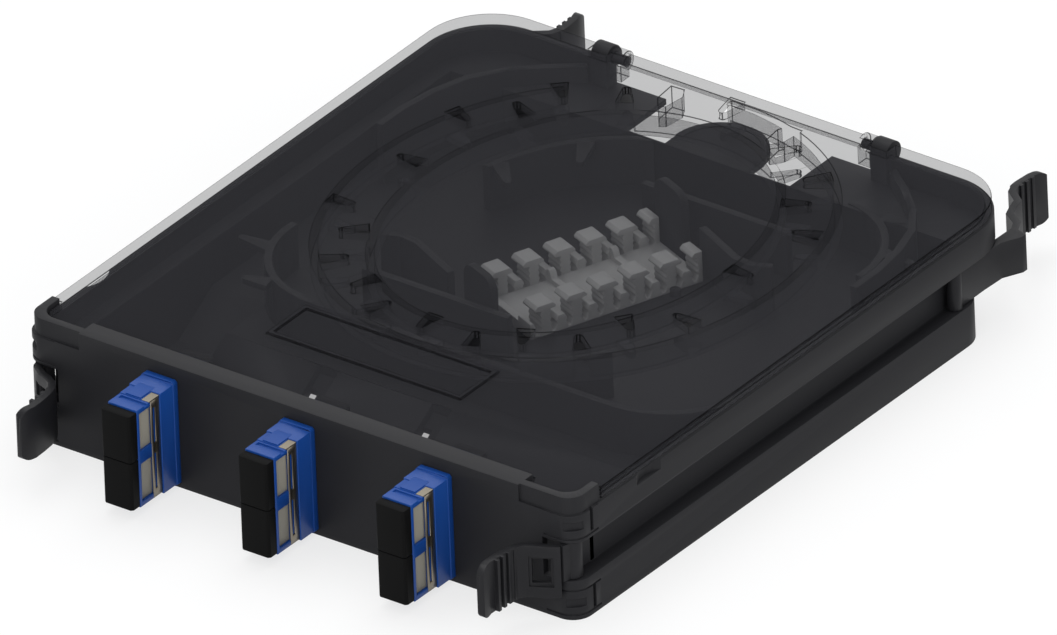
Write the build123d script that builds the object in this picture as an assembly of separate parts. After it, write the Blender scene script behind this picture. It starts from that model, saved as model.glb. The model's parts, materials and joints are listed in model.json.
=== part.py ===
from build123d import *
import math
import os

# Fibre cassette: a shallow moulded case with a hinged smoke cover, three
# four-port adapters in the front wall, a twelve-way splice holder inside
# and four spring latches at the corners. Everything is laid out from the
# front left bottom corner of the case, x to the right, y to the rear,
# z up, and moved to the middle of the whole object when it is written.

# Case
CASE_W = 157.2
CASE_D = 172.8
CASE_H = 32.0
WALL = 1.95
FRONT_R = 5.0
REAR_R = 17.0
SKIRT_D = 158.0

# Heights in the case
FLOOR_Z = 10.3
FLOOR_T = 1.5
LOW_Z = 2.2
SHELF_Z = 20.3
SHELF_T = 1.5
RIM_DROP = 4.4
SPOOL_Z = 22.1
GUIDE_DROP = 1.5

# Side rail grooves
GROOVE_DEPTH = 4.1
GROOVE_WALL = 1.8

# Front lip above the adapters
LIP_DEPTH = 5.75
LIP_END = 15.9
CORNER_LIP = 2.1
LIP_INSET = 0.7
LIP_ARM = 10.6

# Ramps from the adapter well up to the main floor
RAMP_TOP_Y = 48.3
RAMP_RUN = 13.7
SIDE_RAMP_W = 15.5
SIDE_RAMP_BACK = 15.5
TROUGH_LEFT_X = 48.0
TROUGH_RIGHT_X = 80.2
TROUGH_W = 5.5
TROUGH_DEPTH = 2.3
TROUGH_MOUTH = 5.9
TROUGH_HOLE_W = 2.4
TROUGH_HOLE_L = 8.6

# Corner pads and pockets
SLOT_L = 4.7
SLOT_W = 2.2
SLOT_DEPTH = 0.8
SLOT_LOW_Z = 4.4
SLOT_HIGH_Z = 24.6
STEP_RISE = 3.1
STEP_CUT = 0.35
THUMB_R = 8.0
THUMB_DEPTH = 1.5
THUMB_Y = 28.5
POCKET_X = 5.1
POCKET_W = 4.4

# Cable entry in the rear wall
ENTRY_X = 41.0
ENTRY_DEPTH = 16.2
TAB_W = 14.0
TONGUE_W = 24.0

# Hinge of the cover
EAR_W = 4.6
EAR_R = 2.9
HINGE_BACK = 0.9
HINGE_DROP = 2.1
HINGE_PIN_R = 1.2
HINGE_PIN_L = 3.6
HINGE_PIN_FIT = 0.1
HINGE_EYE_R = 2.6
HINGE_TAIL = 4.4
HINGE_GAP = 0.3

# Cover
COVER_T = 2.0
COVER_DROP = 1.0
COVER_SIDE = 0.45
COVER_SEAT = 0.3
COVER_RIM = 1.6
LABEL_X = 51.0
LABEL_Y = 24.9
LABEL_W = 55.4
LABEL_D = 15.0
LABEL_BAND = 1.3
LABEL_H = 0.5

# Oval spool rings
RING_BACK = 66.3
RING_T = 1.9
RING_GAP = 1.2
IN_A = 43.8
IN_B = 53.6
IN_K = 0.912
OUT_A = 57.8
OUT_B = 64.2
OUT_K = 0.974
FINGER_W = 4.2
FINGER_TIP = 1.9
FINGER_T = 1.5
IN_LENGTH = 6.9
OUT_LENGTH = 6.6

# Splice holder
SPLICE_DX = 0.9
SPLICE_DY = 3.0
SPLICE_TURN = -21.8
SPLICE_BAYS = 5.5
SPLICE_PITCH = 8.43
SPLICE_W = 24.2
SPLICE_ROW = 5.4
SPLICE_BASE = 1.6
SPLICE_H = 8.1
SPLICE_MID_H = 4.1
SPLICE_STEM = 2.3
SPLICE_HEAD = 5.6
SPLICE_HEAD_T = 1.6
SPLICE_BEVEL = 0.8
SEAT_W = 1.95
SEAT_WAVE = 0.35
SEAT_FLOOR = 0.6
RAIL_W = 1.7
RAIL_H = 2.8
STUD_R = 1.3
STUD_GAP = 0.2
TAB_L = 12.1
TAB_CORNER = 3.5
TAB_CLEAR = 1.0
TAB_DX = 6.8
TAB_DY = 27.5

# Adapters
ADAPTER_PITCH = 39.1
ADAPTER_Z = 14.9
ADAPTER_W = 8.2
ADAPTER_H = 25.6
ADAPTER_FRONT = 15.1
ADAPTER_REAR = 11.6
ADAPTER_SKIN = 0.75
FLANGE_W = 9.2
FLANGE_H = 27.6
FLANGE_T = 1.6
COLLAR_T = 4.9
COLLAR_W = 8.8
PORT = 4.6
PORT_PITCH = 6.25
PORT_DEPTH = 10.2
SLEEVE_R = 1.25
SLEEVE_T = 0.35
SLEEVE_L = 6.4
CLIP_T = 0.3
CLIP_L = 3.4
WINDOW_L = 4.6
WINDOW_H = 9.9
PANEL_FIT = 0.15

# Dust caps
CAP_W = 8.2
CAP_H = 12.5
CAP_T = 3.0
CAP_PLUG = 4.0
CAP_PLUG_L = 8.4
CAP_GAP = 0.1
CAP_SEAT = 0.05

# Latches
LATCH_T = 1.8
LATCH_Z0 = 6.5
BARREL_R = 2.2
REAR_BARREL_R = 1.8
REAR_PIN_R = 0.9
LATCH_PIN_R = 1.1
LATCH_FIT = 0.1
FRONT_PIN_X = 3.4
FRONT_PIN_Y = 3.4
REAR_PIN_X = 2.1
REAR_PIN_BACK = 10.0
GRIP_RIB = 0.7
GRIP_PITCH = 2.1
GRIP_CORNER = 3.2
LATCH_WINDOW_L = 5.8
LATCH_WINDOW_H = 7.9
LATCH_BEVEL = 0.7


# Places that follow from the sizes above
RIM_Z = CASE_H - RIM_DROP
COVER_TOP = CASE_H - COVER_DROP
HINGE_Y = CASE_D - HINGE_BACK
HINGE_Z = COVER_TOP - HINGE_DROP
ENTRY_Y = CASE_D - ENTRY_DEPTH
RING_X = CASE_W / 2
RING_Y = CASE_D - RING_BACK
RING_Z = SPOOL_Z + RING_GAP
SPLICE_X = RING_X + SPLICE_DX
SPLICE_Y = RING_Y + SPLICE_DY
SPLICE_L = SPLICE_BAYS * SPLICE_PITCH
REAR_PIN_Y = SKIRT_D - REAR_PIN_BACK


def box(x0, x1, y0, y1, z0, z1):
    middle = Pos((x0 + x1) / 2, (y0 + y1) / 2, (z0 + z1) / 2)
    return middle * Box(x1 - x0, y1 - y0, z1 - z0)


def prism(points, z0, z1):
    return Pos(0, 0, z0) * extrude(Polygon(*points, align=None), z1 - z0, dir=(0, 0, 1))


def side_prism(points, x0, x1):
    face = Plane.YZ.offset(x0) * Polygon(*points, align=None)
    return extrude(face, x1 - x0, dir=(1, 0, 0))


def post(x, y, r, z0, z1):
    return Pos(x, y, (z0 + z1) / 2) * Cylinder(r, z1 - z0)


def case_outline(inset, depth, z0, z1, front_r, rear_r):
    x0 = inset
    x1 = CASE_W - inset
    y0 = inset
    y1 = depth - inset
    fr = max(front_r - inset, 0.4)
    rr = max(rear_r - inset, 0.4)
    body = box(x0, x1, y0, y1, z0, z1)
    upright = body.edges().filter_by(Axis.Z)
    body = fillet(upright.group_by(Axis.Y)[0], fr)
    rear = body.edges().filter_by(Axis.Z).group_by(Axis.Y)[-1]
    return fillet(rear, rr)


# An oval of four tangent arcs: half width a, half depth b, end radius k times a
def oval_face(a, b, k):
    r = k * a
    big = (a * a + b * b - 2 * b * r) / (2 * (a - r))
    turn = math.degrees(math.atan2(b - r, big - a))
    arcs = [
        CenterArc((RING_X - big + a, RING_Y), big, -turn, 2 * turn),
        CenterArc((RING_X, RING_Y + b - r), r, turn, 180 - 2 * turn),
        CenterArc((RING_X + big - a, RING_Y), big, 180 - turn, 2 * turn),
        CenterArc((RING_X, RING_Y - b + r), r, 180 + turn, 180 - 2 * turn),
    ]
    return make_face(Wire([arc.edge() for arc in arcs]))


def oval_wall(a, b, k, z0, z1):
    r = k * a
    inner_a = a - RING_T
    inner_k = (r - RING_T) / inner_a
    outer = extrude(oval_face(a, b, k), z1 - z0, dir=(0, 0, 1))
    inner = extrude(oval_face(inner_a, b - RING_T, inner_k), z1 - z0, dir=(0, 0, 1))
    return Pos(0, 0, z0) * (outer - inner)


# Distance from the ring centre to the oval in a given direction
def oval_reach(angle, a, b, k):
    r = k * a
    big = (a * a + b * b - 2 * b * r) / (2 * (a - r))
    cx = abs(math.cos(math.radians(angle)))
    sy = abs(math.sin(math.radians(angle)))
    c = big - a
    e = b - r
    turn = math.atan2(e, c)
    corner = math.atan2(big * math.sin(turn), big * math.cos(turn) - c)
    if math.atan2(sy, cx) < corner:
        return math.sqrt(c * c * cx * cx - c * c + big * big) - c * cx
    return math.sqrt(e * e * sy * sy - e * e + r * r) + e * sy


# A tapering finger with a blunt tip, from the middle of its root
def finger(bx, by, aim, length, z0, z1):
    ux = math.cos(math.radians(aim))
    uy = math.sin(math.radians(aim))
    outline = [(0, FINGER_W / 2), (length - FINGER_TIP * 0.35, FINGER_TIP / 2), (length, FINGER_TIP * 0.22)]
    outline += [(run, -side) for run, side in outline[::-1]]
    return prism([(bx + ux * run + uy * side, by + uy * run - ux * side) for run, side in outline], z0, z1)


# Fingers of the two rings: place round the ring and the way they point
IN_FINGERS = [
    (270, 270), (294, 298), (320, 323), (0, 0), (40, 30), (66, 58),
    (114, 122), (140, 150), (180, 180), (220, 217), (246, 242),
]
OUT_FINGERS = [
    (284, 115), (308, 134), (335, 172), (24, 198), (50, 226), (90, 270),
    (130, 314), (156, 342), (205, 8), (232, 46), (256, 65),
]


def ring_finger(angle, aim, outer, z0, z1):
    if outer:
        reach = oval_reach(angle, OUT_A - RING_T, OUT_B - RING_T, OUT_K) + 0.2
        length = OUT_LENGTH
    else:
        reach = oval_reach(angle, IN_A, IN_B, IN_K) - 0.2
        length = IN_LENGTH
    bx = RING_X + reach * math.cos(math.radians(angle))
    by = RING_Y + reach * math.sin(math.radians(angle))
    return finger(bx, by, aim, length, z0, z1)


# Points given from the middle of the rings
def from_rings(points):
    return [(RING_X + x, RING_Y + y) for x, y in points]


# A bent strip of even thickness along a run of points
def strip(points, thick, z0, z1):
    left = []
    right = []
    for i, (x, y) in enumerate(points):
        ahead = points[min(i + 1, len(points) - 1)]
        behind = points[max(i - 1, 0)]
        ux1, uy1 = ahead[0] - x, ahead[1] - y
        ux0, uy0 = x - behind[0], y - behind[1]
        if i == 0:
            ux0, uy0 = ux1, uy1
        if i == len(points) - 1:
            ux1, uy1 = ux0, uy0
        n0 = math.hypot(ux0, uy0)
        n1 = math.hypot(ux1, uy1)
        nx = -(uy0 / n0 + uy1 / n1)
        ny = ux0 / n0 + ux1 / n1
        scale = 2 / (nx * nx + ny * ny)
        left.append((x + nx * scale * thick / 2, y + ny * scale * thick / 2))
        right.append((x - nx * scale * thick / 2, y - ny * scale * thick / 2))
    return prism(left + right[::-1], z0, z1)


# A wall of even thickness along the arc through three points
def arc_wall(points, thick, z0, z1):
    (ax, ay), (bx, by), (cx, cy) = points
    d = 2 * (ax * (by - cy) + bx * (cy - ay) + cx * (ay - by))
    aa, bb, cc = ax * ax + ay * ay, bx * bx + by * by, cx * cx + cy * cy
    mx = (aa * (by - cy) + bb * (cy - ay) + cc * (ay - by)) / d
    my = (aa * (cx - bx) + bb * (ax - cx) + cc * (bx - ax)) / d
    r = math.hypot(ax - mx, ay - my)
    start = math.degrees(math.atan2(ay - my, ax - mx))
    span = (math.degrees(math.atan2(cy - my, cx - mx)) - start) % 360
    if d < 0:
        span -= 360
    outer = CenterArc((mx, my), r + thick / 2, start, span)
    inner = CenterArc((mx, my), r - thick / 2, start, span)
    ends = [Line(outer @ 0, inner @ 0), Line(outer @ 1, inner @ 1)]
    face = make_face(Wire([curve.edge() for curve in (outer, inner, *ends)]))
    return Pos(0, 0, z0) * extrude(face, z1 - z0, dir=(0, 0, 1))


def mirrored(shape):
    return mirror(shape, Plane.YZ.offset(CASE_W / 2))


def half_turn(shape):
    return Pos(2 * RING_X, 2 * RING_Y, 0) * Rot(0, 0, 180) * shape


# Base housing: skirt, grooved waist and upper tray
def base_housing():
    waist = GROOVE_DEPTH + GROOVE_WALL
    well_end = RAMP_TOP_Y - RAMP_RUN
    shelf_top = SHELF_Z + SHELF_T
    under = FLOOR_Z - FLOOR_T
    skirt_r = REAR_R - 9
    body = case_outline(0, CASE_D, SHELF_Z, RIM_Z, FRONT_R, REAR_R)
    body += case_outline(0, SKIRT_D, 0, SHELF_Z, FRONT_R, skirt_r)
    # Upper tray and main floor
    body -= case_outline(WALL, CASE_D, shelf_top, RIM_Z + 1, FRONT_R, REAR_R)
    inner_rear = SKIRT_D - WALL
    body -= box(waist, CASE_W - waist, RAMP_TOP_Y, inner_rear, FLOOR_Z, shelf_top + 0.1)
    body -= box(waist, CASE_W - waist, WALL, well_end, LOW_Z, shelf_top + 0.1)
    ramp = [
        (well_end - 0.01, LOW_Z), (RAMP_TOP_Y + 0.01, FLOOR_Z),
        (RAMP_TOP_Y + 0.01, shelf_top + 0.1), (well_end - 0.01, shelf_top + 0.1),
    ]
    body -= side_prism(ramp, waist, CASE_W - waist)
    # Long ramp beside the left wall
    long_ramp = [
        (well_end - 0.01, LOW_Z), (well_end + SIDE_RAMP_BACK, LOW_Z),
        (RAMP_TOP_Y + SIDE_RAMP_BACK, FLOOR_Z), (RAMP_TOP_Y + SIDE_RAMP_BACK, FLOOR_Z + 0.1),
        (well_end - 0.01, FLOOR_Z + 0.1),
    ]
    body -= side_prism(long_ramp, waist, waist + SIDE_RAMP_W)
    # Open underside
    void = case_outline(WALL, SKIRT_D, -1, under, FRONT_R, skirt_r)
    slope = (FLOOR_Z - LOW_Z) / RAMP_RUN
    mouth = well_end + TROUGH_MOUTH
    foot_z = LOW_Z + slope * TROUGH_MOUTH
    drop = TROUGH_DEPTH + FLOOR_T
    bed = [
        (mouth, foot_z - drop), (RAMP_TOP_Y, FLOOR_Z - drop), (RAMP_TOP_Y + FLOOR_T, FLOOR_Z - drop),
        (RAMP_TOP_Y + FLOOR_T, FLOOR_Z), (mouth, FLOOR_Z),
    ]
    for x0 in (TROUGH_LEFT_X, TROUGH_RIGHT_X):
        void -= side_prism(bed, x0 - FLOOR_T, x0 + TROUGH_W + FLOOR_T)
    side_x = waist + SIDE_RAMP_W + FLOOR_T
    profile = [
        (0, -1), (SKIRT_D, -1), (SKIRT_D, under), (RAMP_TOP_Y, under),
        (well_end, LOW_Z - FLOOR_T), (0, LOW_Z - FLOOR_T),
    ]
    body -= void & side_prism(profile, side_x, CASE_W)
    back = SIDE_RAMP_BACK
    long_profile = [
        (0, -1), (SKIRT_D, -1), (SKIRT_D, under), (RAMP_TOP_Y + back, under),
        (well_end + back, LOW_Z - FLOOR_T), (0, LOW_Z - FLOOR_T),
    ]
    body -= void & side_prism(long_profile, 0, side_x + 0.01)
    # Side grooves, open to the rear, with the latch pins in them
    for flip in (False, True):
        groove = box(-1, GROOVE_DEPTH, FRONT_PIN_Y + BARREL_R + 5, CASE_D + 1, FLOOR_Z, SHELF_Z)
        corner = box(-1, POCKET_X + POCKET_W, -1, FRONT_PIN_Y + BARREL_R + 5.01, FLOOR_Z, SHELF_Z)
        keep = box(POCKET_X + 0.9, POCKET_X + POCKET_W + 1, WALL + 1.6, 12, FLOOR_Z, SHELF_Z)
        pin = post(REAR_PIN_X, REAR_PIN_Y, REAR_PIN_R, FLOOR_Z - 0.5, SHELF_Z + 0.5)
        front_pin = post(FRONT_PIN_X, FRONT_PIN_Y, LATCH_PIN_R, FLOOR_Z - 0.5, SHELF_Z + 0.5)
        cut = groove + (corner - keep)
        add = pin + front_pin
        if flip:
            cut = mirrored(cut)
            add = mirrored(add)
        body -= cut
        body += add
    # Troughs down the ramps, open at the foot
    channel = [
        (mouth, foot_z - TROUGH_DEPTH), (RAMP_TOP_Y, FLOOR_Z - TROUGH_DEPTH),
        (RAMP_TOP_Y, FLOOR_Z + 0.1), (mouth, FLOOR_Z + 0.1),
    ]
    for x0 in (TROUGH_LEFT_X, TROUGH_RIGHT_X):
        body -= side_prism(channel, x0, x0 + TROUGH_W)
        hole_y = well_end + 1.4
        body -= box(x0, x0 + TROUGH_HOLE_W, hole_y, hole_y + TROUGH_HOLE_L, -1, FLOOR_Z)
    # Front wall above the tray and the lip over the adapters
    middle = box(LIP_END, CASE_W - LIP_END, 0, LIP_DEPTH, RIM_Z - 0.1, CASE_H)
    frame = case_outline(LIP_INSET, CASE_D, RIM_Z - 0.1, CASE_H, FRONT_R, REAR_R)
    frame -= case_outline(LIP_INSET + CORNER_LIP, CASE_D, RIM_Z - 0.2, CASE_H + 1, FRONT_R + 2, REAR_R)
    frame -= box(-1, CASE_W + 1, LIP_ARM, CASE_D + 1, RIM_Z - 0.2, CASE_H + 1)
    body += frame
    body += middle
    body += box(LIP_END, CASE_W - LIP_END, WALL - 0.1, LIP_DEPTH, RIM_Z - 3, CASE_H - 1)
    # Slots and shallow steps in the rounded corner pads, thumb notches in the sides
    for flip in (False, True):
        cuts = Part()
        for z0, sign in ((SLOT_LOW_Z, 1), (SLOT_HIGH_Z, -1)):
            place = Pos(FRONT_R - FRONT_R * 0.7071, FRONT_R - FRONT_R * 0.7071, z0) * Rot(0, 0, -45)
            cuts += place * Box(SLOT_L, 2 * SLOT_DEPTH, SLOT_W)
            cuts += box(-1, SLOT_DEPTH, FRONT_R + 1.0, FRONT_R + 2.1, z0 - 2.7, z0 + 3.1)
            for edge in (z0 - sign * STEP_RISE, z0 + sign * (STEP_RISE + 0.2)):
                band = box(-1, FRONT_R + 4, -1, FRONT_R + 4, edge - 0.25, edge + 0.25)
                cuts += band - case_outline(STEP_CUT, CASE_D, edge - 1, edge + 1, FRONT_R, REAR_R)
        cuts += Pos(THUMB_R * -1 + THUMB_DEPTH, THUMB_Y, RIM_Z - 1.2) * Cylinder(THUMB_R, 2.6)
        body -= mirrored(cuts) if flip else cuts
    # Adapter windows in the front wall
    for i in (-1, 0, 1):
        ax = CASE_W / 2 + i * ADAPTER_PITCH
        hw = ADAPTER_W / 2 + PANEL_FIT
        hh = ADAPTER_H / 2 + PANEL_FIT
        reach = ADAPTER_REAR + CAP_T + 1
        body -= box(ax - hw, ax + hw, -1, reach, ADAPTER_Z - hh, ADAPTER_Z + hh)
    # Cable entry between the hinge ears
    body -= box(ENTRY_X, CASE_W - ENTRY_X, CASE_D - WALL - 0.1, CASE_D + 1, shelf_top, RIM_Z + 1)
    slot = box(ENTRY_X + TAB_W, CASE_W - ENTRY_X - TAB_W, ENTRY_Y, CASE_D + 1, SHELF_Z - 1, shelf_top + 0.1)
    half = TONGUE_W / 2
    tongue = box(RING_X - half, RING_X + half, ENTRY_Y - 2, CASE_D - half, SHELF_Z - 2, shelf_top + 1)
    tongue += post(RING_X, CASE_D - half, half, SHELF_Z - 2, shelf_top + 1)
    body -= slot - tongue
    arch = post(RING_X, CASE_D - half, half, SHELF_Z, SPOOL_Z)
    arch -= post(RING_X, CASE_D - half, half - RING_T, SHELF_Z, RIM_Z)
    arch -= box(RING_X - half - 1, RING_X + half + 1, 0, CASE_D - half, SHELF_Z - 1, RIM_Z)
    body += arch
    # Hinge ears and pins
    for flip in (False, True):
        ear = box(ENTRY_X - EAR_W, ENTRY_X, CASE_D - WALL - 2, CASE_D, shelf_top - 0.1, HINGE_Z)
        knuckle = Pos(ENTRY_X - EAR_W / 2, HINGE_Y, HINGE_Z) * Rot(0, 90, 0)
        ear += knuckle * Cylinder(EAR_R, EAR_W)
        reach = ENTRY_X + HINGE_GAP + HINGE_PIN_L
        pin = Pos((ENTRY_X - 1 + reach) / 2, HINGE_Y, HINGE_Z) * Rot(0, 90, 0)
        ear += pin * Cylinder(HINGE_PIN_R, reach - ENTRY_X + 1)
        body += mirrored(ear) if flip else ear
    # Spool walls, straight guides and entry guides, the same turned half round
    low = FLOOR_Z - 0.2
    wall = oval_wall(IN_A, IN_B, IN_K, low, SPOOL_Z)
    sector = from_rings([(-60, 19), (-20, 19), (-4, 45), (-4, 48.9), (-60, 48.9)])
    half_set = strip(from_rings([(-36.1, -33.0), (5.4, -33.0)]), RING_T, low, SPOOL_Z)
    guide = from_rings([(-42.1, -18.5), (-37.6, -16.5), (-32.6, -17.1), (-26.6, -19.9), (-18.1, -23.9)])
    half_set += strip(guide, RING_T, low, SPOOL_Z)
    # Long guide round the outside of the rings with its outward fingers
    bend = from_rings([(-61.4, -25.5), (-56.8, -42.1), (-39.9, -51.6)])
    half_set += arc_wall(bend, RING_T, low, SPOOL_Z)
    half_set += finger(RING_X - 59.3, RING_Y - 37.1, 180, 9.4, SPOOL_Z - FINGER_T, SPOOL_Z)
    half_set += finger(RING_X - 50.2, RING_Y - 50.2, 192, 7.0, SPOOL_Z - FINGER_T, SPOOL_Z)
    # End stops of the splice holder, rounded plates square to its length
    tab = Plane.XZ * RectangleRounded(TAB_L, 2 * (COVER_TOP - COVER_T - TAB_CLEAR - FLOOR_Z), TAB_CORNER)
    tab = extrude(tab, RING_T / 2, both=True)
    tab -= box(-TAB_L, TAB_L, -RING_T, RING_T, -CASE_H, -0.2)
    half_set += Pos(RING_X - TAB_DX, RING_Y - TAB_DY, FLOOR_Z) * Rot(0, 0, SPLICE_TURN) * tab
    body += half_set
    body += half_turn(half_set)
    # Curved spool walls, the rear one with two inward fingers
    body += wall & prism(sector, low - 1, SPOOL_Z + 1)
    sector = from_rings([(4, -48.9), (60, -48.9), (60, -33.2), (20, -33.2), (4, -45)])
    body += wall & prism(sector, low - 1, SPOOL_Z + 1)
    for angle, aim in ((150, 318), (124, 297)):
        reach = oval_reach(angle, IN_A - RING_T, IN_B - RING_T, IN_K) + 0.2
        bx = RING_X + reach * math.cos(math.radians(angle))
        by = RING_Y + reach * math.sin(math.radians(angle))
        body += finger(bx, by, aim, 9.6, SPOOL_Z - FINGER_T, SPOOL_Z)
    body += strip(from_rings([(-40.5, -51.9), (48.0, -51.9)]), RING_T, low, SPOOL_Z)
    turn_up = from_rings([(48.0, -51.9), (65.5, -44.7), (72.2, -27.7)])
    body += arc_wall(turn_up, RING_T, low, SPOOL_Z)
    # Guides from the side bays over the shelf to the cable entry
    top = RIM_Z - GUIDE_DROP
    rise = [(11.0, -36), (11.0, -27), (12.4, -17), (15.2, -8), (20.9, 0)]
    lower = strip([(x, SKIRT_D + y) for x, y in rise], RING_T, low, top)
    far = CASE_D - SKIRT_D
    over = [(20.9, 0), (27.5, 0.4 * far), (35.0, 0.78 * far)]
    upper = strip([(x, SKIRT_D + y) for x, y in over], RING_T, shelf_top - 0.2, top)
    body += lower + upper
    body += mirrored(lower + upper)
    # Stud that holds the splice holder against its end stops
    place = Pos(SPLICE_X, SPLICE_Y, 0) * Rot(0, 0, SPLICE_TURN)
    beside = SPLICE_W / 2 + STUD_R + STUD_GAP
    body += place * post(beside, 1.75 * SPLICE_PITCH, STUD_R, low, FLOOR_Z + SPLICE_BASE)
    return body


# Cover: plate with hanging rings, relief holes over the fingers and hinge eyes
def smoke_cover():
    under = COVER_TOP - COVER_T
    plate = case_outline(COVER_SIDE, CASE_D, under, COVER_TOP, FRONT_R, REAR_R)
    rim = case_outline(COVER_SIDE, CASE_D, RIM_Z + COVER_SEAT, under + 0.1, FRONT_R, REAR_R)
    rim -= case_outline(COVER_SIDE + COVER_RIM, CASE_D, RIM_Z, under + 1, FRONT_R, REAR_R)
    entry = ENTRY_X - EAR_W
    cover = plate + rim
    # Front edge follows the lip
    front = LIP_DEPTH + COVER_SEAT
    cover -= box(LIP_END - COVER_SEAT, CASE_W - LIP_END + COVER_SEAT, -1, front, RIM_Z, COVER_TOP + 1)
    edge = LIP_INSET + CORNER_LIP + COVER_SEAT
    cover -= box(-1, CASE_W + 1, -1, edge, RIM_Z, COVER_TOP + 1)
    arm = LIP_ARM + COVER_SEAT
    cover -= box(-1, edge, -1, arm, RIM_Z, COVER_TOP + 1)
    cover -= box(CASE_W - edge, CASE_W + 1, -1, arm, RIM_Z, COVER_TOP + 1)
    turn = FRONT_R + 2 - edge
    for flip in (False, True):
        corner = box(edge - 0.1, edge + turn, edge - 0.1, edge + turn, RIM_Z, COVER_TOP + 1)
        corner -= post(edge + turn, edge + turn, turn, RIM_Z - 1, COVER_TOP + 2)
        cover -= mirrored(corner) if flip else corner
    # Rings
    cover += oval_wall(IN_A, IN_B, IN_K, RING_Z, under + 0.1)
    outer = oval_wall(OUT_A, OUT_B, OUT_K, RING_Z, under + 0.1)
    outer -= box(RING_X - 39, RING_X - 3, RING_Y + 44, RING_Y + 70, RING_Z - 1, under)
    outer -= box(0, CASE_W, CASE_D - WALL - 0.3, CASE_D + 5, RING_Z - 1, under)
    cover += outer
    holes = Part()
    for row, is_outer in ((IN_FINGERS, False), (OUT_FINGERS, True)):
        for angle, aim in row:
            holes += ring_finger(angle, aim, is_outer, under - 0.1, COVER_TOP + 0.1)
            cover += ring_finger(angle, aim, is_outer, RING_Z, RING_Z + FINGER_T)
    cover -= holes
    # Blank raised label frame
    frame = box(LABEL_X, LABEL_X + LABEL_W, LABEL_Y, LABEL_Y + LABEL_D, COVER_TOP - 0.1, COVER_TOP + LABEL_H)
    frame -= box(
        LABEL_X + LABEL_BAND, LABEL_X + LABEL_W - LABEL_BAND,
        LABEL_Y + LABEL_BAND, LABEL_Y + LABEL_D - LABEL_BAND, COVER_TOP, COVER_TOP + LABEL_H + 1,
    )
    cover += frame
    # Notches round the ears, hinge eyes beside them and two hanging hooks
    for flip in (False, True):
        notch = box(ENTRY_X - EAR_W - HINGE_GAP, ENTRY_X + HINGE_GAP, HINGE_Y - EAR_R - HINGE_GAP,
                    CASE_D + 1, RIM_Z - 1, COVER_TOP + 1)
        x0 = ENTRY_X + HINGE_GAP
        x1 = x0 + HINGE_PIN_L
        axle = Pos((x0 + x1) / 2, HINGE_Y, HINGE_Z) * Rot(0, 90, 0)
        eye = axle * Cylinder(HINGE_EYE_R, x1 - x0)
        eye += box(x0, x1, HINGE_Y - HINGE_EYE_R, HINGE_Y + 0.6, HINGE_Z - HINGE_TAIL, HINGE_Z)
        hook = prism(from_rings([
            (-18.6, 61.9), (-15.1, 62.1), (-13.6, 59.3), (-14.3, 53.9), (-15.8, 52.9), (-18.0, 55.9),
        ]), RING_Z, under + 0.1)
        bore = axle * Cylinder(HINGE_PIN_R + HINGE_PIN_FIT, x1 - x0 + 0.1)
        cover -= mirrored(notch) if flip else notch
        cover += mirrored(eye + hook) if flip else eye + hook
        cover -= mirrored(bore) if flip else bore
    return cover


# Half of the holder's outline from the middle of a post, under its head, down
# one waved side of the seat, over its round floor and up to the low wall
def seat_outline():
    stem = SPLICE_STEM / 2
    head = SPLICE_HEAD / 2
    far = stem + SEAT_W
    shoulder = SPLICE_H - SPLICE_HEAD_T
    deep = SEAT_FLOOR + SEAT_W / 2
    side = [(head - SPLICE_BEVEL, SPLICE_H), (head, SPLICE_H - SPLICE_BEVEL)]
    side += [(head, shoulder + 0.3), (stem, shoulder)]
    crest = (shoulder - deep) / 3.5
    for i in range(3):
        side.append((stem + SEAT_WAVE, shoulder - (i + 0.6) * crest))
        side.append((stem, shoulder - (i + 1.1) * crest))
    corner = SEAT_W * 0.3
    side += [(stem + corner, SEAT_FLOOR), (far - corner, SEAT_FLOOR)]
    wall = (SPLICE_MID_H - deep) / 2
    side += [(far, deep + 0.4 * wall), (far - SEAT_WAVE, deep + wall)]
    side += [(far, deep + 1.6 * wall), (far + 0.3, SPLICE_MID_H)]
    return side


# Splice holder: two rows of headed posts with waved seats between them
def splice_holder():
    start = -SPLICE_L / 2
    end = SPLICE_L / 2
    side = seat_outline()
    outline = [(end, 0), (end, SPLICE_H)]
    for i in range(int(SPLICE_BAYS) + 1):
        s = end - i * SPLICE_PITCH
        if i:
            outline += [(s + d, z) for d, z in side[::-1]]
        outline += [(s - d, z) for d, z in side]
    outline += [(start, SPLICE_MID_H), (start, 0)]
    row = side_prism(outline, SPLICE_W / 2 - SPLICE_ROW, SPLICE_W / 2)
    inner = SPLICE_W / 2 - SPLICE_ROW
    body = row + Pos(SPLICE_ROW - SPLICE_W, 0, 0) * row
    body += box(-inner - 0.1, inner + 0.1, start, end, 0, SPLICE_BASE)
    # Rails across the base, each with a rounded upright at the rear row
    stop = SPLICE_MID_H + 0.6
    across = [
        (-inner - 0.1, 0), (inner + 0.1, 0), (inner + 0.1, RAIL_H), (-inner + 2.0, RAIL_H),
        (-inner + 1.5, stop - 0.6), (-inner + 0.9, stop), (-inner - 0.1, stop),
    ]
    for bay in (0.5, 2.5, 4.5):
        s = end - (bay + 1) * SPLICE_PITCH
        s = max(s, start + RAIL_W / 2)
        rail = Plane.XZ.offset(-s - RAIL_W / 2) * Polygon(*across, align=None)
        body += extrude(rail, RAIL_W, dir=(0, -1, 0))
    return Pos(SPLICE_X, SPLICE_Y, FLOOR_Z) * Rot(0, 0, SPLICE_TURN) * body


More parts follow.
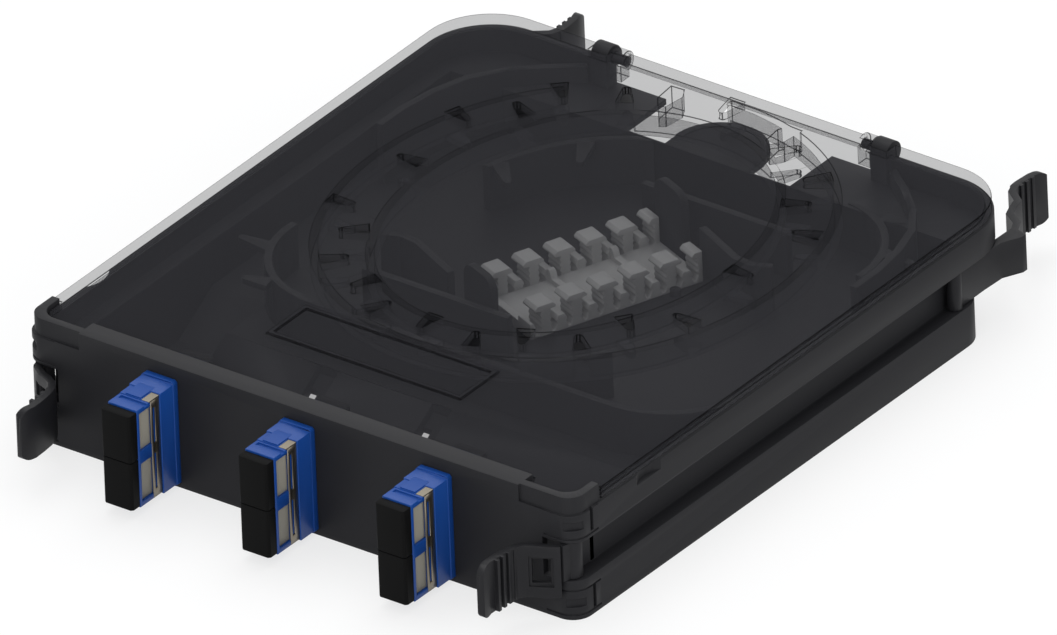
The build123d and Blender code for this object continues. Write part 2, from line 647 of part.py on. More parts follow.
# Adapter shell with flange, collar, side windows and a recess for the clip
def adapter_body(ax):
    zc = ADAPTER_Z
    half_h = ADAPTER_H / 2
    half_w = ADAPTER_W / 2
    shell = box(ax - half_w, ax + half_w, -ADAPTER_FRONT, ADAPTER_REAR, zc - half_h, zc + half_h)
    collar_y = -FLANGE_T - COLLAR_T
    shell += box(ax - COLLAR_W / 2, ax + COLLAR_W / 2, collar_y, -FLANGE_T + 0.1,
                 zc - half_h - 0.4, zc + half_h + 0.4)
    flange = box(ax - FLANGE_W / 2, ax + FLANGE_W / 2, -FLANGE_T, -0.02, zc - FLANGE_H / 2, zc + FLANGE_H / 2)
    shell += chamfer(flange.edges().filter_by(Axis.Y), 0.6)
    hw = ADAPTER_W / 2 - ADAPTER_SKIN
    hh = half_h - ADAPTER_SKIN
    shell -= box(ax - hw, ax + hw, -ADAPTER_FRONT - 1, ADAPTER_REAR + 1, zc - hh, zc + hh)
    front_y = -ADAPTER_FRONT + 0.9
    bar = 1.65
    for s in (-1, 1):
        z0 = zc + bar if s > 0 else zc - bar - WINDOW_H
        shell -= box(ax - ADAPTER_W, ax + ADAPTER_W, front_y, front_y + WINDOW_L, z0, z0 + WINDOW_H)
    clip_y = collar_y - CLIP_L
    outer = box(ax - ADAPTER_W, ax + ADAPTER_W, clip_y, collar_y, zc - FLANGE_H, zc + FLANGE_H)
    inner = box(ax - ADAPTER_W / 2 + CLIP_T, ax + ADAPTER_W / 2 - CLIP_T, clip_y - 1, collar_y + 1,
                zc - half_h + CLIP_T, zc + half_h - CLIP_T)
    shell -= outer - inner
    return shell


# Eight-sided bar along z for the sleeves and their bores
def sleeve_bar(r, length):
    return Pos(0, 0, -length / 2) * extrude(RegularPolygon(r, 8), length, dir=(0, 0, 1))


# Port block inside the shell: four square ports each way and the sleeve bores
def adapter_insert(ax):
    zc = ADAPTER_Z
    hw = ADAPTER_W / 2 - ADAPTER_SKIN
    hh = ADAPTER_H / 2 - ADAPTER_SKIN
    block = box(ax - hw, ax + hw, -ADAPTER_FRONT, ADAPTER_REAR, zc - hh, zc + hh)
    for i in range(4):
        z = zc + (i - 1.5) * PORT_PITCH
        h = PORT / 2
        block -= box(ax - h, ax + h, -ADAPTER_FRONT - 1, -ADAPTER_FRONT + PORT_DEPTH, z - h, z + h)
        block -= box(ax - h, ax + h, ADAPTER_REAR - PORT_DEPTH, ADAPTER_REAR + 1, z - h, z + h)
        bore = Pos(ax, (ADAPTER_REAR - ADAPTER_FRONT) / 2, z) * Rot(90, 0, 0)
        block -= bore * sleeve_bar(SLEEVE_R, ADAPTER_FRONT + ADAPTER_REAR)
    return block


def adapter_sleeves(ax):
    group = Part()
    for i in range(4):
        z = ADAPTER_Z + (i - 1.5) * PORT_PITCH
        place = Pos(ax, (ADAPTER_REAR - ADAPTER_FRONT) / 2, z) * Rot(90, 0, 0)
        tube = sleeve_bar(SLEEVE_R, SLEEVE_L) - sleeve_bar(SLEEVE_R - SLEEVE_T, SLEEVE_L + 1)
        group += place * tube
    return group


def adapter_clip(ax):
    zc = ADAPTER_Z
    collar_y = -FLANGE_T - COLLAR_T
    y0 = collar_y - CLIP_L
    hw = ADAPTER_W / 2
    hh = ADAPTER_H / 2
    band = box(ax - hw, ax + hw, y0, collar_y, zc - hh, zc + hh)
    band -= box(ax - hw + CLIP_T, ax + hw - CLIP_T, y0 - 1, collar_y + 1, zc - hh + CLIP_T, zc + hh - CLIP_T)
    for s in (-1, 1):
        mid = zc + s * 6.0
        band -= box(ax - ADAPTER_W, ax + ADAPTER_W, y0 + 0.9, y0 + 1.7, mid - 4.6, mid + 4.6)
    return band


# Twin dust cap: a face plate and two plugs; rear ones face the other way
def dust_cap(ax, upper, rear):
    zc = ADAPTER_Z + (PORT_PITCH if upper else -PORT_PITCH)
    y0 = -ADAPTER_FRONT - CAP_SEAT
    hw = CAP_W / 2
    hh = CAP_H / 2 - CAP_GAP
    face = box(ax - hw, ax + hw, y0 - CAP_T, y0, zc - hh, zc + hh)
    face = chamfer(face.edges().filter_by(Axis.Z).group_by(Axis.Y)[0], 0.5)
    for s in (-1, 1):
        z = zc + s * PORT_PITCH / 2
        h = CAP_PLUG / 2
        face += box(ax - h, ax + h, y0 - 0.5, y0 + CAP_PLUG_L, z - h, z + h)
    if rear:
        face = Pos(0, ADAPTER_REAR - ADAPTER_FRONT, 0) * mirror(face, Plane.XZ)
    return face


# Front latch: barrel on its pin, waved plate with a window, ribbed grip
def front_latch():
    low = FLOOR_Z + 0.3
    high = SHELF_Z - 0.3
    path = [
        (0.0, -1.3), (0.6, -3.9), (3.6, -6.0), (6.0, -6.9), (8.0, -8.1), (9.4, -10.2),
        (10.0, -12.8), (10.3, -15.9), (10.4, -19.2), (9.4, -23.0),
    ]
    path = [(FRONT_PIN_X + x, FRONT_PIN_Y + y) for x, y in path]
    grip_end = path[-1][1] - 0.5
    arm = strip(path[1:], LATCH_T, LATCH_Z0, high)
    # Ribs across the outward side of the grip
    for i in range(4):
        y = path[4][1] - 2.6 - i * GRIP_PITCH
        arm += box(path[6][0] - LATCH_T / 2 - GRIP_RIB, path[6][0], y - 0.5, y + 0.5, LATCH_Z0, high)
    keep = box(-5, path[8][0] + 5, grip_end, FRONT_PIN_Y, LATCH_Z0, high)
    keep = fillet(keep.edges().filter_by(Axis.X).group_by(Axis.Y)[0], GRIP_CORNER)
    arm = arm & keep
    arm -= box(-5, FRONT_PIN_X + 3.0, -1.0, 2, LATCH_Z0 - 1, FLOOR_Z + 0.3)
    arm += strip(path[:2], LATCH_T, low, high)
    arm += post(FRONT_PIN_X, FRONT_PIN_Y, BARREL_R, low, high)
    arm -= post(FRONT_PIN_X, FRONT_PIN_Y, LATCH_PIN_R + LATCH_FIT, low - 6, high + 1)
    # Window through the plate with a sunk frame round it
    (x0, y0), (x1, y1) = path[1], path[4]
    turn = math.degrees(math.atan2(y1 - y0, x1 - x0))
    middle = Pos((x0 + x1) / 2 + 0.3, (y0 + y1) / 2, (LATCH_Z0 + high) / 2) * Rot(0, 0, turn)
    arm -= middle * Box(LATCH_WINDOW_L - 2 * LATCH_BEVEL, 8, LATCH_WINDOW_H - 2 * LATCH_BEVEL)
    sunk = middle * Pos(0, -LATCH_T / 2 - 4 + 0.4, 0) * Box(LATCH_WINDOW_L, 8, LATCH_WINDOW_H)
    return arm - sunk


# Rear latch: arm along the groove, barb, bent neck and ribbed grip
def rear_latch():
    low = FLOOR_Z + 0.3
    high = SHELF_Z - 0.3
    x0, y0 = REAR_PIN_X, REAR_PIN_Y
    arm_w = LATCH_T + 0.4
    arm = strip([(x0, y0), (x0 + 0.1, y0 + 10), (x0 - 0.2, y0 + 18), (x0 - 0.3, y0 + 23.5)], arm_w, low, high)
    barb = [(0.1, 14.0), (-3.7, 21.4), (-3.7, 23.0), (0.1, 24.0)]
    arm += prism([(x0 + x, y0 + y) for x, y in barb], low, high)
    neck = [(-0.3, 23.0), (1.3, 26.2), (5.1, 28.6), (6.3, 31.6), (7.1, 34.4), (10.7, 37.0), (11.8, 40.0)]
    arm += strip([(x0 + x, y0 + y) for x, y in neck], LATCH_T, LATCH_Z0 + 3, high)
    grip = [(11.6, 38.6), (11.8, 41.0), (11.5, 45.0), (10.3, 49.0)]
    plate = strip([(x0 + x, y0 + y) for x, y in grip], LATCH_T, LATCH_Z0, high)
    for i in range(4):
        y = y0 + grip[1][1] - 0.6 + i * GRIP_PITCH
        face = x0 + grip[1][0] - LATCH_T / 2
        plate += box(face - GRIP_RIB, face + 0.5, y - 0.5, y + 0.5, LATCH_Z0, high)
    keep = box(0, 30, y0 + 36, y0 + grip[-1][1] + 0.6, LATCH_Z0, high)
    keep = fillet(keep.edges().filter_by(Axis.X).group_by(Axis.Y)[-1], GRIP_CORNER)
    arm += plate & keep
    arm += post(x0, y0, REAR_BARREL_R, low, high)
    arm -= post(x0, y0, REAR_PIN_R + LATCH_FIT, low - 1, high + 1)
    return arm


pieces = {
    "base_housing": base_housing(),
    "smoke_cover": smoke_cover(),
    "splice_holder": splice_holder(),
    "latch_front_left": front_latch(),
    "latch_front_right": mirrored(front_latch()),
    "latch_rear_left": rear_latch(),
    "latch_rear_right": mirrored(rear_latch()),
}
for side, index in (("left", -1), ("centre", 0), ("right", 1)):
    ax = CASE_W / 2 + index * ADAPTER_PITCH
    name = "adapter_" + side
    pieces[name + "_body"] = adapter_body(ax)
    pieces[name + "_insert"] = adapter_insert(ax)
    pieces[name + "_clip"] = adapter_clip(ax)
    pieces[name + "_sleeves"] = adapter_sleeves(ax)
    pieces["cap_" + side + "_upper"] = dust_cap(ax, True, False)
    pieces["cap_" + side + "_lower"] = dust_cap(ax, False, False)
    pieces["inner_cap_" + side + "_upper"] = dust_cap(ax, True, True)
    pieces["inner_cap_" + side + "_lower"] = dust_cap(ax, False, True)

# Middle of the whole object from the front grips to the rear ones
front_y = min(solid.bounding_box().min.Y for solid in pieces.values())
rear_y = max(solid.bounding_box().max.Y for solid in pieces.values())
print("middle", (front_y + rear_y) / 2)

os.makedirs("parts", exist_ok=True)
origin = Pos(-CASE_W / 2, -(front_y + rear_y) / 2, 0)
for name, solid in pieces.items():
    export_step(origin * solid, "parts/" + name + ".step")
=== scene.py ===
import json
import math
import bmesh
import bpy
from mathutils import Matrix, Vector

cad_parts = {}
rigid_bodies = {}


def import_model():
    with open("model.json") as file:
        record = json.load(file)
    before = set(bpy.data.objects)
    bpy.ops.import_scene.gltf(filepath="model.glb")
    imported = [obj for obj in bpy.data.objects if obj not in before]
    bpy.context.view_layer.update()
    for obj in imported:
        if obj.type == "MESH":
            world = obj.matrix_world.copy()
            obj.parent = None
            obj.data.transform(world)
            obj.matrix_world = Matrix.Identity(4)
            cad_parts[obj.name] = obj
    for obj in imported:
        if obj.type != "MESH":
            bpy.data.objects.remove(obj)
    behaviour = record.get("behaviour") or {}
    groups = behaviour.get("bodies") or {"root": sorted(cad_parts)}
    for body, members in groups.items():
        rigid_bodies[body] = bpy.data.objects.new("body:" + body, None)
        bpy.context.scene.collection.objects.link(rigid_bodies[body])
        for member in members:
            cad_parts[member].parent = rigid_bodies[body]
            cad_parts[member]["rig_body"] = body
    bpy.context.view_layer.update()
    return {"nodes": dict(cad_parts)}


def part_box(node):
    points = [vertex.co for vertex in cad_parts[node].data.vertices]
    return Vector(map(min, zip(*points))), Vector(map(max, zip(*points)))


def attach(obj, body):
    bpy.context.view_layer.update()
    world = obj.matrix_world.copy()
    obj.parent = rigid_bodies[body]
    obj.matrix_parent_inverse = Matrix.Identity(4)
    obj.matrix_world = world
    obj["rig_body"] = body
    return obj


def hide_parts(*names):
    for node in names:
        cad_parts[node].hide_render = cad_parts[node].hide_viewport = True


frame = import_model()
nodes = frame["nodes"]
MM = 0.001

# Camera
# The photograph is a parallel view from the front right, a little rolled, so one scale
# holds over the whole picture. The aim is the point of the case in the picture's middle.
AZIMUTH = math.radians(37.78)
ELEVATION = math.radians(30.32)
ROLL = math.radians(-2.40)
PX_PER_M = 4370.0
PICTURE_WIDTH = 1057
AIM = Vector((0.0025, -0.004465, 0.0157))
CAMERA_DISTANCE = 0.9
VIEW_DEPTH = 20


# A new object for a mesh, lamp or camera, at the origin
def placed(name, data):
    made = bpy.data.objects.new(name, data)
    bpy.context.scene.collection.objects.link(made)
    return made


heading = Matrix.Rotation(AZIMUTH, 4, "Z")
tilt = Matrix.Rotation(math.pi / 2 - ELEVATION, 4, "X")
turn = heading @ tilt @ Matrix.Rotation(ROLL, 4, "Z")
lens = bpy.data.cameras.new("photo_view")
lens.type = "ORTHO"
lens.ortho_scale = PICTURE_WIDTH / PX_PER_M
lens.clip_end = VIEW_DEPTH
camera = placed("photo_view", lens)
camera.matrix_world = Matrix.Translation(AIM + turn.to_3x3() @ Vector((0, 0, CAMERA_DISTANCE))) @ turn
bpy.context.scene.camera = camera

# Base housing
# The black case is injection moulded ABS with a fine spark-eroded grain. Its edges are
# eased by the tool's radii, so the corners catch a thin line of light.
CASE_RADIUS = 0.1
POCKET_RADIUS = 0.15
# The inner wall of the front left latch pocket, in line with the side groove behind it:
# lowest and highest corners in mm from the case's front left foot
POCKET_WALLS = [
    ((4.1, 6.2, 10.2), (6.2, 12.2, 20.4)),
    ((4.75, 5.3, 10.2), (6.2, 6.4, 20.4)),
]
# Clouding from the flow of the melt, and how far it shifts the roughness
FLOW_MM = 18
FLOW_ROUGHNESS = 0.05
# Points this close are one, and faces this near to level are one face
WELD = 0.002 * MM
LEVEL = math.radians(0.6)
# An edge that leaves a corner at a flatter slant than this doesn't limit the radius
# there. Of any other, the radius takes at most this share.
FLAT_SLANT = 0.35
RADIUS_SHARE = 0.3


# An sRGB hex colour as linear values
def linear(code):
    parts = [int(code[i:i + 2], 16) / 255 for i in (1, 3, 5)]
    return [c / 12.92 if c <= 0.04045 else ((c + 0.055) / 1.055) ** 2.4 for c in parts] + [1.0]


# A node with its settings, values and links
def node(tree, kind, values=None, links=None, **settings):
    made = tree.nodes.new(kind)
    for name, value in settings.items():
        setattr(made, name, value)
    for name, value in (values or {}).items():
        made.inputs[name].default_value = value
    for name, source in (links or {}).items():
        tree.links.new(source, made.inputs[name])
    return made


# The emptied node tree of a material or a world
def bare_tree(owner):
    owner.use_nodes = True
    owner.node_tree.nodes.clear()
    return owner.node_tree


# Moulded thermoplastic: an even colour with faint flow clouding and a spark-eroded grain.
# A real grain is finer than 0.1 mm, and it is drawn a few times coarser so that it shows.
# Inputs 6 and 7 of the mix node are its two colours, and output 2 is their mix.
def moulded_plastic(name, colour, cloud, grain_mm, grain_depth_mm, roughness, sheen=0.2, ior=1.53):
    material = bpy.data.materials.new(name)
    tree = bare_tree(material)
    place = node(tree, "ShaderNodeTexCoord").outputs["Object"]
    flow = node(tree, "ShaderNodeTexNoise", {"Scale": 1 / (FLOW_MM * MM), "Detail": 3.0}, {"Vector": place})
    tint = node(tree, "ShaderNodeMix", {6: linear(colour), 7: linear(cloud)},
                {"Factor": flow.outputs["Fac"]}, data_type="RGBA")
    grain = node(tree, "ShaderNodeTexNoise", {"Scale": 1 / (grain_mm * MM), "Detail": 2.0, "Roughness": 0.6},
                 {"Vector": place})
    patch = node(tree, "ShaderNodeMapRange",
                 {"To Min": roughness - FLOW_ROUGHNESS, "To Max": roughness + FLOW_ROUGHNESS},
                 {"Value": flow.outputs["Fac"]})
    bump = node(tree, "ShaderNodeBump", {"Strength": 1.0, "Distance": grain_depth_mm * MM},
                {"Height": grain.outputs["Fac"]})
    shader = node(tree, "ShaderNodeBsdfPrincipled", {"IOR": ior, "Specular IOR Level": sheen},
                  {"Base Color": tint.outputs[2], "Roughness": patch.outputs["Result"],
                   "Normal": bump.outputs["Normal"]})
    node(tree, "ShaderNodeOutputMaterial", links={"Surface": shader.outputs["BSDF"]})
    return material


# The plain mesh that an object's modifiers give, without the object
def applied(rough):
    made = bpy.data.meshes.new_from_object(rough.evaluated_get(bpy.context.evaluated_depsgraph_get()))
    bpy.data.objects.remove(rough)
    return made


# Rectangular blocks given by their lowest and highest corners in metres, as one object
def blocks(name, corners):
    work = bmesh.new()
    for low, high in corners:
        size = [high[k] - low[k] for k in range(3)]
        middle = [(high[k] + low[k]) / 2 for k in range(3)]
        bmesh.ops.create_cube(work, size=1, matrix=Matrix.Translation(middle) @ Matrix.Diagonal((*size, 1)))
    mesh = bpy.data.meshes.new(name)
    work.to_mesh(mesh)
    work.free()
    return placed(name, mesh)


# Corners given in mm from a point of the part, in metres of the shared frame
def measured(point, pairs):
    return [[[point[k] + corner[k] * MM for k in range(3)] for corner in pair] for pair in pairs]


# The tool's radius on an object's edges
def tool_radius(rough, radius_mm, rounds=2):
    bevel = rough.modifiers.new("tool_radius", "BEVEL")
    bevel.width = radius_mm * MM
    bevel.segments = rounds
    bevel.harden_normals = True
    return bevel


# Blocks of one material with eased edges
def eased_blocks(name, corners, radius_mm, material):
    rough = blocks(name, corners)
    rough.data.shade_smooth()
    rough.data.materials.append(material)
    tool_radius(rough, radius_mm)
    return rough


# Blocks cut out of a mesh in the making
def cut_away(work, name, corners):
    mesh = bpy.data.meshes.new(name + "_whole")
    work.to_mesh(mesh)
    whole = placed(name + "_whole", mesh)
    cutter = blocks(name + "_cutter", corners)
    cut = whole.modifiers.new("cuts", "BOOLEAN")
    cut.operation = "DIFFERENCE"
    cut.solver = "EXACT"
    cut.object = cutter
    work.clear()
    work.from_mesh(applied(whole))
    bpy.data.objects.remove(cutter)


# How much of the tool's radius each sharp edge has room for, as the edge's bevel weight
def weigh_edges(work, radius, crease):
    layer = work.edges.layers.float.new("bevel_weight_edge")
    for edge in work.edges:
        if len(edge.link_faces) != 2 or edge.calc_face_angle(0) < math.radians(crease):
            continue
        room = radius
        for corner in edge.verts:
            along = (edge.other_vert(corner).co - corner.co).normalized()
            for other in corner.link_edges:
                if other == edge:
                    continue
                run = other.other_vert(corner).co - corner.co
                across = along.cross(run).length
                if across > FLAT_SLANT * run.length:
                    room = min(room, RADIUS_SHARE * across)
        edge[layer] = max(0.0, room / radius)


# A piece copied from its solid, with every edge sharper than the crease eased. The faces
# are cut into triangles first, because a wide face with holes folds over itself when its
# corners move.
def eased(name, radius_mm, material, rounds=2, crease=28, cuts=None, rim=None):
    work = bmesh.new()
    work.from_mesh(nodes[name].data)
    bmesh.ops.remove_doubles(work, verts=work.verts, dist=WELD)
    bmesh.ops.dissolve_limit(work, angle_limit=LEVEL, verts=work.verts, edges=work.edges)
    if cuts:
        cut_away(work, name, cuts)
    weigh_edges(work, radius_mm * MM, crease)
    bmesh.ops.triangulate(work, faces=work.faces)
    mesh = bpy.data.meshes.new(name + "_moulding")
    work.to_mesh(mesh)
    work.free()
    mesh.shade_smooth()
    mesh.materials.append(material)
    rough = placed(name + "_rough", mesh)
    bevel = tool_radius(rough, radius_mm, rounds)
    bevel.limit_method = "WEIGHT"
    bevel.use_clamp_overlap = False
    bevel.loop_slide = False
    if rim:
        mesh.materials.append(rim)
        bevel.material = 1
    piece = placed(name + "_piece", applied(rough))
    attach(piece, nodes[name]["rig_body"])
    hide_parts(name)


case_abs = moulded_plastic("moulded_abs_black", "#212123", "#252527",
                           grain_mm=0.6, grain_depth_mm=0.003, roughness=0.5, sheen=0.1)
eased("base_housing", CASE_RADIUS, case_abs)

case_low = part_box("base_housing")[0]
walls = measured((case_low[0], case_low[1], 0), POCKET_WALLS)
walls += [((-high[0], low[1], low[2]), (-low[0], high[1], high[2])) for low, high in walls]
rough = eased_blocks("latch_pocket_walls_rough", walls, POCKET_RADIUS, case_abs)
piece = placed("latch_pocket_walls", applied(rough))
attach(piece, nodes["base_housing"]["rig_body"])

# Smoke cover
# A clear moulding of smoke-tinted polycarbonate, two millimetres thick, with the spool
# rings hanging under it. Each skin holds back about a quarter of what lies behind it.
COVER_RADIUS = 0.2
SKIN_HOLD = 0.27
EDGE_HOLD = 0.88
# The faint waves of the skin: their width, depth and effect on the polish
RIPPLE_MM = 22
RIPPLE_DEPTH = 0.05
POLISH = (0.10, 0.16)


def smoke_polycarbonate(name, colour, hold):
    material = bpy.data.materials.new(name)
    tree = bare_tree(material)
    place = node(tree, "ShaderNodeTexCoord").outputs["Object"]
    ripple = node(tree, "ShaderNodeTexNoise", {"Scale": 1 / (RIPPLE_MM * MM), "Detail": 1.0}, {"Vector": place})
    haze = node(tree, "ShaderNodeMapRange", {"To Min": POLISH[0], "To Max": POLISH[1]},
                {"Value": ripple.outputs["Fac"]})
    bump = node(tree, "ShaderNodeBump", {"Strength": 0.5, "Distance": RIPPLE_DEPTH * MM},
                {"Height": ripple.outputs["Fac"]})
    shader = node(tree, "ShaderNodeBsdfPrincipled",
                  {"Base Color": linear(colour), "IOR": 1.585, "Alpha": hold, "Specular IOR Level": 0.0},
                  {"Roughness": haze.outputs["Result"], "Normal": bump.outputs["Normal"]})
    node(tree, "ShaderNodeOutputMaterial", links={"Surface": shader.outputs["BSDF"]})
    return material


cover_pc = smoke_polycarbonate("smoke_tinted_polycarbonate", "#3e3e41", SKIN_HOLD)
# At a rounded edge the eye looks through far more of the tinted plastic, so it is denser
cover_edge = smoke_polycarbonate("smoke_tinted_polycarbonate_edge", "#101011", EDGE_HOLD)
eased("smoke_cover", COVER_RADIUS, cover_pc, rim=cover_edge)

# Splice holder
# One soft light grey moulding of thermoplastic elastomer, dull to the eye: two rows of
# headed posts with waved seats between them, which grip the splice sleeves.
HOLDER_RADIUS = 0.12
holder_tpe = moulded_plastic("moulded_tpe_light_grey", "#a9a9a8", "#b0b0ae",
                             grain_mm=0.5, grain_depth_mm=0.006, roughness=0.55)
eased("splice_holder", HOLDER_RADIUS, holder_tpe)

# Corner latches
# Four black acetal springs, one moulding each, with a bevelled window and ribbed grips.
# Acetal is waxy, so they are a little glossier than the case.
LATCH_RADIUS = 0.08
latch_acetal = moulded_plastic("moulded_acetal_black", "#1e1e20", "#222224",
                               grain_mm=0.4, grain_depth_mm=0.003, roughness=0.42, sheen=0.14, ior=1.48)
for end in ("front", "rear"):
    for side in ("left", "right"):
        eased("latch_%s_%s" % (end, side), LATCH_RADIUS, latch_acetal)

# Adapters
# Each has a satin blue shell and a warm grey port block that shows in the side windows,
# both of moulded PBT, a bent strip of spring steel round it and polished white ceramic
# sleeves inside.
ADAPTERS = 3
SHELL_RADIUS = 0.12
PORT_RADIUS = 0.1
STRIP_RADIUS = 0.05
SLEEVE_RADIUS = 0.08
SLEEVE_CREASE = 50
FORM_RADIUS = 0.1
# The flange stands this much higher than the shell's top
FLANGE_RISE = 1.0
# Rolling lines of the strip: their width, length, depth and effect on the shine. They
# are drawn coarser than real ones, so that they show.
LINE_ACROSS_MM = 0.12
LINE_ALONG_MM = 6
LINE_DEPTH = 0.004
ROLLED_FINISH = (0.28, 0.44)
# Corners in mm from the middle of the shell's top edge at the flange's front: a narrow
# slot for a removal tool, cut less than the wall is thick, a raised pad in two steps that
# holds the strip down, and the strip's end, bent over the edge beside it
TOOL_SLOT = [((-3.3, 2.9, -0.5), (5, 4.1, 1))]
PAD_BLOCKS = [
    ((-4.08, 4.6, -0.3), (1.95, 11.5, 0.2)),
    ((-2.6, 4.8, 0.1), (1.7, 10.3, 0.5)),
]
TAB_BLOCKS = [((1.95, 4.7, -0.25), (4.12, 10.4, 0.15))]

shell_pbt = moulded_plastic("moulded_pbt_blue", "#143f86", "#164690",
                            grain_mm=0.25, grain_depth_mm=0.003, roughness=0.38)
port_pbt = moulded_plastic("moulded_pbt_warm_grey", "#8f8b80", "#969286",
                           grain_mm=0.25, grain_depth_mm=0.004, roughness=0.42)
# Zirconia is pressed and ground: the same clouding and grain, finer and far glossier
sleeve_zirconia = moulded_plastic("ground_zirconia_white", "#eeeeea", "#f3f3ef",
                                  grain_mm=0.1, grain_depth_mm=0.001, roughness=0.16, ior=2.1)


# Rolled stainless strip: fine lines along the rolling direction, which runs up the strip
def rolled_steel():
    material = bpy.data.materials.new("rolled_stainless_strip")
    tree = bare_tree(material)
    place = node(tree, "ShaderNodeTexCoord").outputs["Object"]
    across = 1 / (LINE_ACROSS_MM * MM)
    along = node(tree, "ShaderNodeMapping", {"Scale": (across, across, 1 / (LINE_ALONG_MM * MM))},
                 {"Vector": place})
    lines = node(tree, "ShaderNodeTexNoise", {"Scale": 1.0, "Detail": 3.0}, {"Vector": along.outputs["Vector"]})
    dull = node(tree, "ShaderNodeMapRange", {"To Min": ROLLED_FINISH[0], "To Max": ROLLED_FINISH[1]},
                {"Value": lines.outputs["Fac"]})
    bump = node(tree, "ShaderNodeBump", {"Strength": 0.6, "Distance": LINE_DEPTH * MM},
                {"Height": lines.outputs["Fac"]})
    shader = node(tree, "ShaderNodeBsdfPrincipled",
                  {"Base Color": linear("#847d70"), "Metallic": 1.0},
                  {"Roughness": dull.outputs["Result"], "Normal": bump.outputs["Normal"]})
    node(tree, "ShaderNodeOutputMaterial", links={"Surface": shader.outputs["BSDF"]})
    return material


# The middle of a shell's top edge, at its flange's front
def top_edge(side):
    low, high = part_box("adapter_%s_body" % side)
    return (low[0] + high[0]) / 2, low[1], high[2] - FLANGE_RISE * MM


clip_steel = rolled_steel()
for side in ("left", "centre", "right"):
    slot_cut = measured(top_edge(side), TOOL_SLOT)
    eased("adapter_%s_body" % side, SHELL_RADIUS, shell_pbt, cuts=slot_cut)
    eased("adapter_%s_insert" % side, PORT_RADIUS, port_pbt)
    eased("adapter_%s_clip" % side, STRIP_RADIUS, clip_steel, rounds=1)
    eased("adapter_%s_sleeves" % side, SLEEVE_RADIUS, sleeve_zirconia,
          rounds=1, crease=SLEEVE_CREASE)


# Copies of a first piece in an even row along X, turned into one plain mesh
def row(name, first, count, pitch, material):
    tree = bpy.data.node_groups.new(name + "_row", "GeometryNodeTree")
    tree.interface.new_socket("Geometry", in_out="INPUT", socket_type="NodeSocketGeometry")
    pitch_socket = tree.interface.new_socket("Pitch", in_out="INPUT", socket_type="NodeSocketFloat")
    count_socket = tree.interface.new_socket("Count", in_out="INPUT", socket_type="NodeSocketInt")
    tree.interface.new_socket("Geometry", in_out="OUTPUT", socket_type="NodeSocketGeometry")
    given = node(tree, "NodeGroupInput")
    step = node(tree, "ShaderNodeCombineXYZ", links={"X": given.outputs["Pitch"]})
    line = node(tree, "GeometryNodeMeshLine",
                links={"Count": given.outputs["Count"], "Offset": step.outputs["Vector"]})
    copies = node(tree, "GeometryNodeInstanceOnPoints",
                  links={"Points": line.outputs["Mesh"], "Instance": given.outputs["Geometry"]})
    solid = node(tree, "GeometryNodeRealizeInstances", links={"Geometry": copies.outputs["Instances"]})
    dressed = node(tree, "GeometryNodeSetMaterial", {"Material": material}, {"Geometry": solid.outputs["Geometry"]})
    node(tree, "NodeGroupOutput", links={"Geometry": dressed.outputs["Geometry"]})
    copier = first.modifiers.new("row", "NODES")
    copier.node_group = tree
    copier[pitch_socket.identifier] = pitch
    copier[count_socket.identifier] = count
    return placed(name, applied(first))


left_top = top_edge("left")
pitch = top_edge("centre")[0] - left_top[0]
for name, forms, material, slot in (
        ("strip_pads", PAD_BLOCKS, shell_pbt, "adapter_blue"),
        ("strip_ends", TAB_BLOCKS, clip_steel, "clip_steel")):
    first = eased_blocks(name + "_first", measured(left_top, forms), FORM_RADIUS, material)
    piece = row(name, first, ADAPTERS, pitch, material)
    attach(piece, nodes["adapter_left_body"]["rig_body"])

# Dust caps
# Twin caps of dull black polyethylene with a rubbery look, one above the other on each
# face of an adapter, pushed into its ports.
CAP_RADIUS = 0.2
cap_pe = moulded_plastic("moulded_pe_black", "#0c0c0c", "#0f0f0f",
                         grain_mm=0.4, grain_depth_mm=0.003, roughness=0.6, sheen=0.05, ior=1.5)
for side in ("left", "centre", "right"):
    for place in ("upper", "lower"):
        eased("cap_%s_%s" % (side, place), CAP_RADIUS, cap_pe)
        eased("inner_cap_%s_%s" % (side, place), CAP_RADIUS, cap_pe)

# Floor and light
# A pale matt floor in soft even studio light. The camera sees the floor mostly as plain
# white, and the case's own soft shadow stays on it.
FLOOR_HALF = 3.0
FLOOR_PLAIN = 0.72
WORLD_STRENGTH = 0.55
# Name, place and size in metres, and watts
SOFTBOXES = [
    ("overhead_softbox", (-0.25, 0.35, 1.1), (1.1, 1.1), 9.0),
    ("front_softbox", (0.35, -1.0, 0.55), (0.9, 0.7), 5.0),
    ("right_softbox", (1.1, 0.1, 0.4), (0.7, 0.7), 2.5),
]


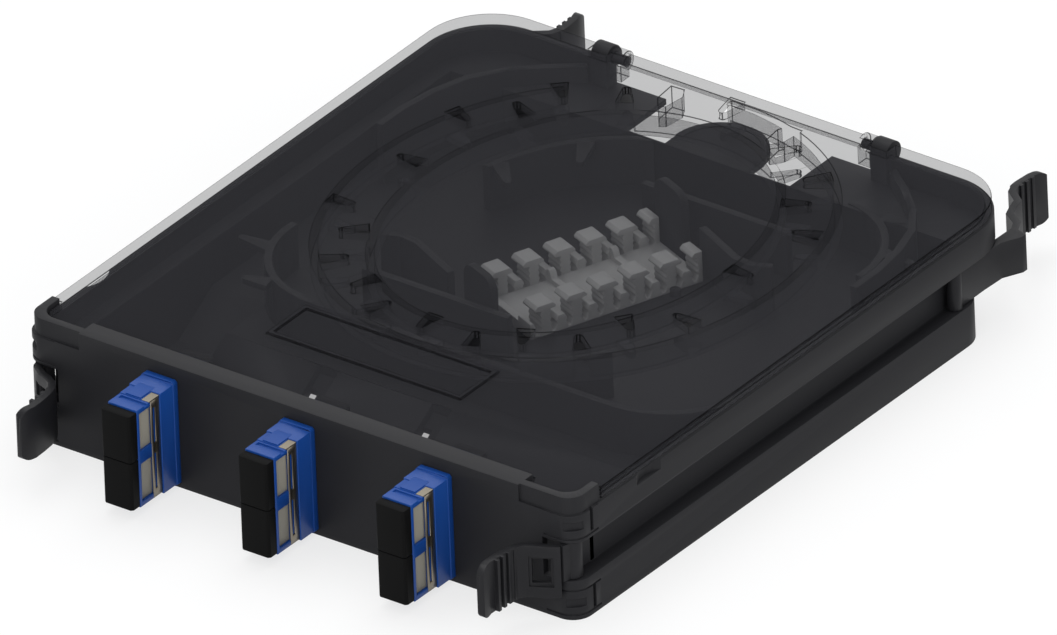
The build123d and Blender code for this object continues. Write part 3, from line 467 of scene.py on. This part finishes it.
# 1 for a ray from the camera, or one that metal or clear plastic sends on, and else 0
def direct_sight(tree):
    rays = node(tree, "ShaderNodeLightPath")
    either = node(tree, "ShaderNodeMath",
                  links={0: rays.outputs["Is Camera Ray"], 1: rays.outputs["Is Glossy Ray"]}, operation="MAXIMUM")
    direct = node(tree, "ShaderNodeMath",
                  links={0: either.outputs[0], 1: rays.outputs["Is Transmission Ray"]}, operation="MAXIMUM")
    return direct.outputs[0]


floor_mesh = bpy.data.meshes.new("studio_floor")
floor_mesh.from_pydata([(-FLOOR_HALF, -FLOOR_HALF, 0), (FLOOR_HALF, -FLOOR_HALF, 0),
                        (FLOOR_HALF, FLOOR_HALF, 0), (-FLOOR_HALF, FLOOR_HALF, 0)], [], [(0, 1, 2, 3)])
floor = placed("studio_floor", floor_mesh)
paper = bpy.data.materials.new("white_paper_sweep")
tree = bare_tree(paper)
matt = node(tree, "ShaderNodeBsdfDiffuse", {"Color": linear("#f4f4f2")})
white = node(tree, "ShaderNodeEmission", {"Color": linear("#ffffff"), "Strength": 1.0})
share = node(tree, "ShaderNodeMath", {1: FLOOR_PLAIN}, {0: direct_sight(tree)}, operation="MULTIPLY")
both = node(tree, "ShaderNodeMixShader", links={0: share.outputs[0], 1: matt.outputs[0], 2: white.outputs[0]})
node(tree, "ShaderNodeOutputMaterial", links={"Surface": both.outputs[0]})
floor_mesh.materials.append(paper)

world = bpy.data.worlds.new("studio_white")
bpy.context.scene.world = world
tree = bare_tree(world)
seen = node(tree, "ShaderNodeBackground", {"Color": linear("#ffffff"), "Strength": 1.0})
lit = node(tree, "ShaderNodeBackground", {"Color": linear("#f6f8ff"), "Strength": WORLD_STRENGTH})
both = node(tree, "ShaderNodeMixShader", links={0: direct_sight(tree), 1: lit.outputs[0], 2: seen.outputs[0]})
node(tree, "ShaderNodeOutputWorld", links={"Surface": both.outputs[0]})

for name, place, size, watts in SOFTBOXES:
    light = bpy.data.lights.new(name, "AREA")
    light.shape = "RECTANGLE"
    light.size, light.size_y = size
    light.energy = watts
    lamp = placed(name, light)
    lamp.location = place
    lamp.rotation_euler = (-Vector(place)).to_track_quat("-Z", "Y").to_euler()

bpy.context.scene.view_settings.view_transform = "Standard"
